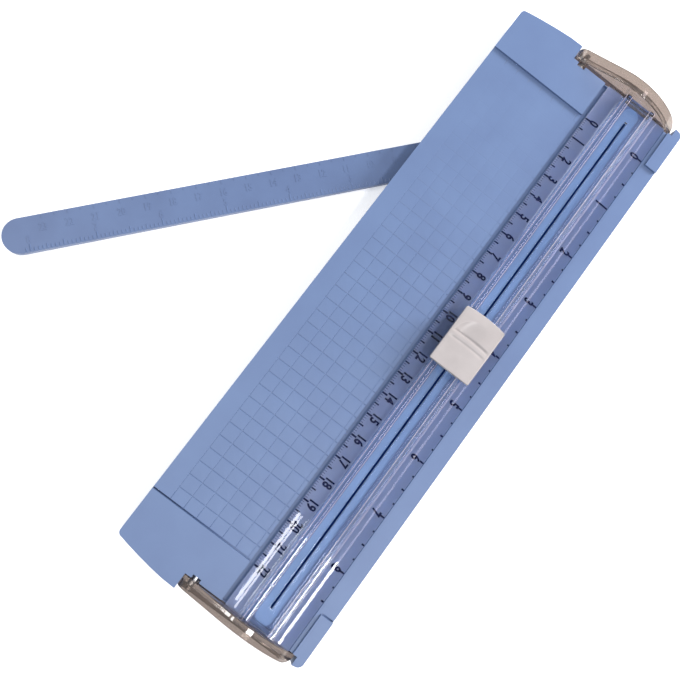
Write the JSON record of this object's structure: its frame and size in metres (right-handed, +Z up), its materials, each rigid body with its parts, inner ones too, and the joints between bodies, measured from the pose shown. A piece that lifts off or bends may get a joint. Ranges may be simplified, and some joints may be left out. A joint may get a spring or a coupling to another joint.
{
  "type": "paper trimmer",
  "caption": "Sliding paper trimmer: flat moulded base with a clear lifting guide rail, a pressed sliding cutter on its track and a ruler arm that swings out from under the deck.",
  "frame": {"origin": "on the table under the middle of the cutting line, at the face of the centre foot", "axes": "+Y along the cutting line, +Z up, -X towards the paper bed"},
  "size_m": [0.1892, 0.268, 0.0239],
  "materials": {
    "blue_plastic": "fine satin moulding",
    "strip_plastic": "smooth moulding",
    "clear_plastic": "clear polished moulding",
    "white_plastic": "smooth moulding",
    "steel": "bright drawn steel",
    "foot_rubber": "matte rubber"
  },
  "bodies": {
    "base": {"base_shell": "blue_plastic", "cutting_strip": "strip_plastic", "ruler_screw": "steel", "ruler_washer": "steel", "foot_far_left": "foot_rubber", "foot_far_right": "foot_rubber", "foot_near_left": "foot_rubber", "foot_near_right": "foot_rubber", "foot_centre": "foot_rubber"},
    "rail": {"guide_rail": "clear_plastic", "end_arm_far": "clear_plastic", "end_arm_near": "clear_plastic", "hinge_pin_far": "steel", "hinge_pin_near": "steel"},
    "slider": {"slider_shoe": "white_plastic", "return_spring": "steel"},
    "cutter_head": {"slider_cap": "white_plastic", "blade_holder": "white_plastic", "blade": "steel", "blade_pin": "steel"},
    "ruler": {"ruler_arm": "blue_plastic"}
  },
  "joints": [
    {"name": "rail_lift", "type": "hinge", "parent": "base", "child": "rail", "pos_m": [-0.0285, 0, 0.0125], "axis": [0, -1, 0], "range_deg": [0, 45]},
    {"name": "slider_travel", "type": "slide", "parent": "rail", "child": "slider", "axis": [0, 1, 0], "range_m": [-0.1157, 0.1097]},
    {"name": "cutter_press", "type": "slide", "parent": "slider", "child": "cutter_head", "axis": [0, 0, -1], "range_m": [0, 0.0015], "stiffness_N_per_m": 600, "springref_m": -0.001, "deforming": ["return_spring"]},
    {"name": "ruler_swing", "type": "hinge", "parent": "base", "child": "ruler", "pos_m": [-0.0185, 0.103, 0.0034], "axis": [0, 0, -1], "range_deg": [-40, 50]}
  ]
}
